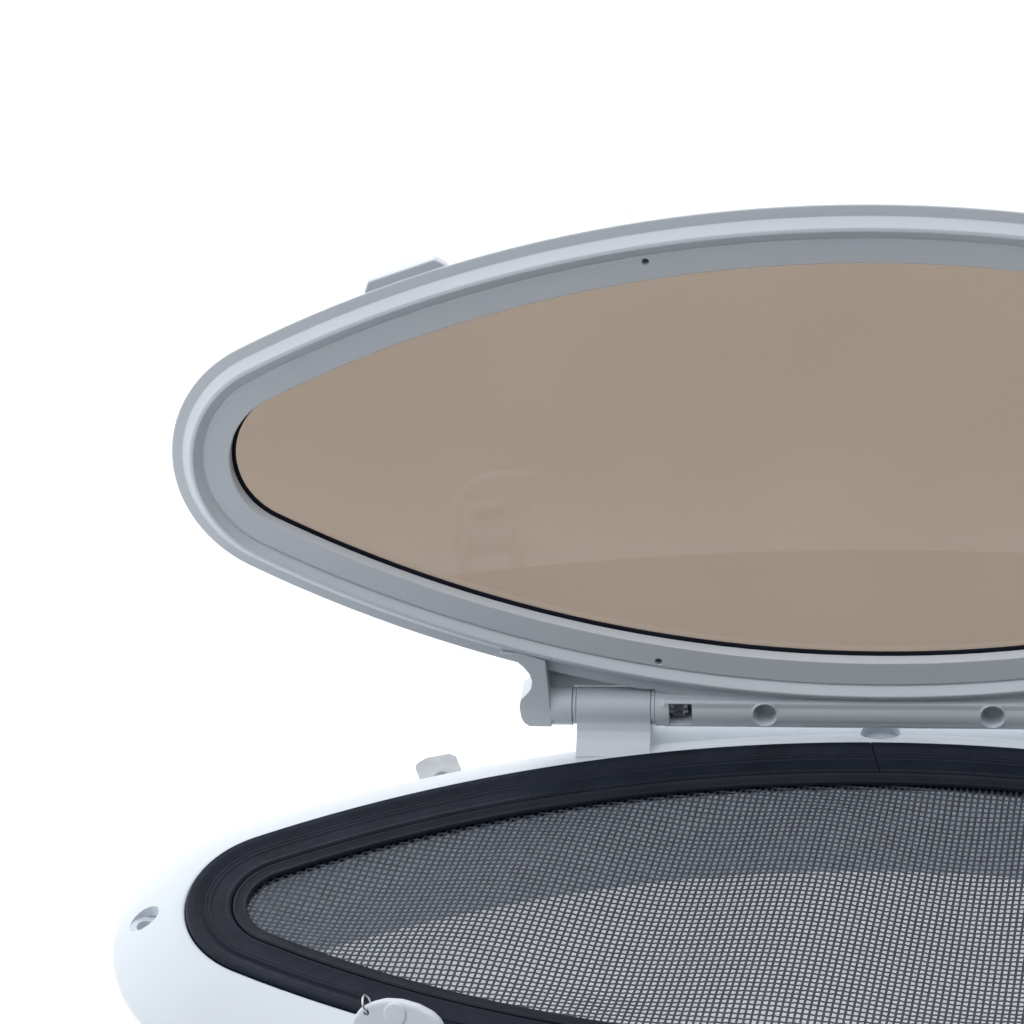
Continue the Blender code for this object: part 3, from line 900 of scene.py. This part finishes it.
piece("lid_moulding", "lid_frame", "lid", lid_moulding(), LID, WHITE)
pane = [(LENS, LENS_Z[0], 0.2), (LENS, LENS_Z[1], 0.4), (0.0, LENS_Z[1]), (0.0, LENS_Z[0])]
pane = plate(eased(pane)[:-2])
piece("lens_pane", "lens", "lid", pane, LID, ACRYLIC)
seal = [(20.5, 21.95, 0.12), (LENS, 21.95, 0.1), (LENS, 22.25, 0.1), (20.5, 22.25, 0.12)]
seal = ring(eased(seal, 2))
piece("lens_seal_rubber", "lens_seal", "lid", seal, LID, RUBBER)


def hinge_piece(what, node, mesh, material, name):
    """A piece on the hinge axis, made on the right side and turned over for the left."""
    if SIDES[name] < 0:
        mesh = flipped(mesh)
    piece(what + "_" + name, node + "_" + name, "lid", mesh, LID, material)


for name in SIDES:
    pin = rod(52.6, 95.4, PIN_R, AXIS_Y, AXIS_Z, 0.3)
    hinge_piece("pin", "hinge_pin", pin, STEEL, name)
    nut = [(53.6, 2.1), (53.6, 2.8), (53.85, 3.0), (56.35, 3.0), (56.6, 2.8), (56.6, 2.1)]
    hinge_piece("nut", "hinge_nut", turned(nut, AXIS_Y, AXIS_Z, 6), STEEL, name)
    cap = rod(96.3, 98.0, 3.2, AXIS_Y, AXIS_Z, 0.4)
    hinge_piece("cap", "hinge_cap", cap, WHITE, name)
    for which, low in (("inner", 61.6), ("outer", 83.3)):
        disc = washer(low, low + DISC_THICK, DISC_HOLE, DISC_R, AXIS_Y, AXIS_Z)
        hinge_piece("friction_disc_" + which, "washer_" + which, disc, WHITE, name)


# ---------------------------------------------------------------- dogs, made shut about their own axis
# outline of the left dog's paddle
PADDLE = [
    (8.2, 1.4),
    (9.6, -4.0),
    (9.4, -9.8),
    (7.5, -13.3),
    (4.6, -15.5),
    (1.2, -17.2),
    (-3.3, -18.0),
    (-8.2, -17.8),
    (-12.4, -16.7),
    (-15.2, -14.9),
    (-16.6, -11.0),
    (-16.2, -5.4),
    (-13.4, -0.8),
    (-8.8, 1.4),
]


def dog_lever(side):
    """Hub with a broad paddle, broader towards the middle of the porthole, with a low round button on it."""
    hub = arc(0, 0, 4.5, 20, 200, 350) + [
        (4.5, 4.0),
        (3.4, 8.4, 2.0),
        (1.0, 10.4, 2.0),
        (-4.0, 10.2),
        (-9.2, 8.2, 1.0),
        (-9.2, 4.5, 0.8),
        (-5.0, 4.3),
        (-4.4, 3.0, 0.5),
    ]
    outline = eased([(-side * x, y, 4.0) for x, y in PADDLE][::-side], 3)
    solid = with_steps(
        prism(eased(hub), -6.4, 6.4, "X", 0.6),
        ("UNION", [prism(outline, 8.05, 11.35, "Z", 1.1)]),
    )
    button = eased([(10.0, 0.0), (10.0, BUTTON_R), (11.75, BUTTON_R, 0.5), (11.9, 0.0)])
    button = turned(button, side * BUTTON_AT[0], BUTTON_AT[1], 40, "Z")
    cuts = [rod(-9, 9, DOG_HOLE), bore(-side * EYE[0], EYE[1], [(6.0, EYE_R), (14.0, EYE_R)])]
    return with_steps(melted(solid, 0.3, 4), ("UNION", [button]), ("DIFFERENCE", cuts))


def wire_loop(side):
    """Thin closed loop that stands on edge through the paddle's eye and leans out past its corner."""
    out = Vector((-side * math.cos(LOOP_LEAN), math.sin(LOOP_LEAN), 0)) * (LOOP_R - 0.45)
    hang = Matrix.Translation(Vector((-side * EYE[0], EYE[1], LOOP_Z)) + out)
    return torus(LOOP_R, LOOP_WIRE, hang @ Matrix.Rotation(math.atan2(out.y, out.x), 4, "Z"))


for name, side in SIDES.items():
    rest, fixed = BASE @ dog_rest(name), BASE @ dog_place(name)
    body = "dog_" + name
    piece("lever_" + name, "dog_lever_" + name, body, dog_lever(side), rest, WHITE, 40)
    pad = box(*sorted(side * end for end in PAD), -8.8, -5.8, 2.95, 4.0, 0.25)
    piece("lever_pad_" + name, "dog_pad_" + name, body, pad, rest, RUBBER)
    pin = [(-10.8, 0), (-10.8, 2.4, 0.4), (-9.9, 2.6, 0.2), (-9.9, 1.5), (11.0, 1.5, 0.3), (11.0, 0)]
    pin = turned(eased(pin), 0, 0, 40)
    piece("lever_pin_" + name, "dog_pin_" + name, "base", pin, fixed, STEEL)
    clip = washer(9.9, 10.5, 1.8, 3.2)
    piece("lever_clip_" + name, "dog_clip_" + name, "base", clip, fixed, STEEL)
    piece("lever_ring_" + name, "dog_ring_" + name, body, wire_loop(side), rest, STEEL)


# ---------------------------------------------------------------- fixing lugs
for name, side in SIDES.items():
    tongue = [(-5.9, 43.0), (5.9, 43.0), (6.0, 60.4, 0.6)]
    tongue += [(4.6, 62.2, 1.5), (-2.0, 62.4, 3.0), (-6.0, 60.6, 2.6)]
    tongue = eased([(-side * x, y, *more) for x, y, *more in tongue][::side])
    place = out_from(LUG_AT, side, 1)
    eye = bore(0, LUG_EYE_Y, [(-1, LUG_EYE_R), (3, LUG_EYE_R)], place)
    lug = with_steps(prism(tongue, 0.1, 1.2, "Z", 0.2, place), ("DIFFERENCE", [eye]))
    piece("lug_" + name, "fixing_lug_" + name, "base", lug, BASE, ZINC)


# ---------------------------------------------------------------- studio
def floor():
    """Pale paper with painted light and shade: behind the object it glows a little, a painted glow that
    keeps it white, and in front of the object, outside the picture, it turns dark, a painted shade that
    keeps its bounce light off the object's front.
    """
    bpy.ops.mesh.primitive_plane_add(size=12, location=(0, 0, SPIGOT_Z * MM))
    made = bpy.context.object
    made.name = "floor"
    paper = Nodes("floor_painted_glow_and_shade")
    place = paper.add("ShaderNodeSeparateXYZ")
    paper.link(paper.place, place.inputs["Vector"])
    dark_from, pale_from = -0.28, -0.1
    # mask for the painted glow and painted shade: 0 in front of the object, where the floor is darkened, and
    # 1 behind it, where the floor glows
    behind = paper.ramp(place.outputs["Y"], 0.0, 1.0, dark_from, pale_from)
    # painted shade in front through the base colour, and painted glow behind through the emission
    paper.set(
        Base_Color=paper.ramp(behind, (0.03, 0.03, 0.032), (0.95, 0.955, 0.96), 0.0, 1.0),
        Roughness=0.95,
        Emission_Color=(0.96, 0.98, 1.0, 1),
        Emission_Strength=paper.ramp(behind, 0.0, 0.22, 0.0, 1.0),
    )
    made.data.materials.append(paper.material)


def camera(at, azimuth, elevation, roll, lens):
    """Camera at a point in metres, its angles in degrees and its lens in millimetres."""
    data = bpy.data.cameras.new("camera")
    data.lens = lens
    data.sensor_width = 36
    data.clip_start, data.clip_end = 0.05, 50
    made = bpy.data.objects.new("camera", data)
    scene.collection.objects.link(made)
    turn = Matrix.Rotation(math.radians(azimuth), 4, "Z")
    turn = turn @ Matrix.Rotation(math.radians(90 - elevation), 4, "X")
    made.matrix_world = Matrix.Translation(at) @ turn @ Matrix.Rotation(math.radians(roll), 4, "Z")
    scene.camera = made


def tent():
    """Light tent: bright behind, above and to the left, dim from the camera's side."""
    world = bpy.data.worlds.new("tent")
    world.use_nodes = True
    tree = world.node_tree
    direction = tree.nodes.new("ShaderNodeTexCoord")
    facing = tree.nodes.new("ShaderNodeVectorMath")
    facing.operation = "DOT_PRODUCT"
    facing.inputs[1].default_value = Vector((-0.4, 0.55, 0.73)).normalized()
    tree.links.new(direction.outputs["Generated"], facing.inputs[0])
    strength = tree.nodes.new("ShaderNodeMapRange")
    strength.interpolation_type = "SMOOTHSTEP"
    for key, value in (("From Min", -0.2), ("From Max", 0.5), ("To Min", 0.03), ("To Max", 1.62)):
        strength.inputs[key].default_value = value
    tree.links.new(facing.outputs["Value"], strength.inputs["Value"])
    light = tree.nodes["Background"]
    light.inputs["Color"].default_value = (0.97, 0.985, 1.0, 1)
    tree.links.new(strength.outputs["Result"], light.inputs["Strength"])
    scene.world = world


floor()
tent()
camera((0.0852, -1.4917, 1.3014), 6.655, 37.49, -3.71, 259.0)
scene.view_settings.view_transform = "Standard"
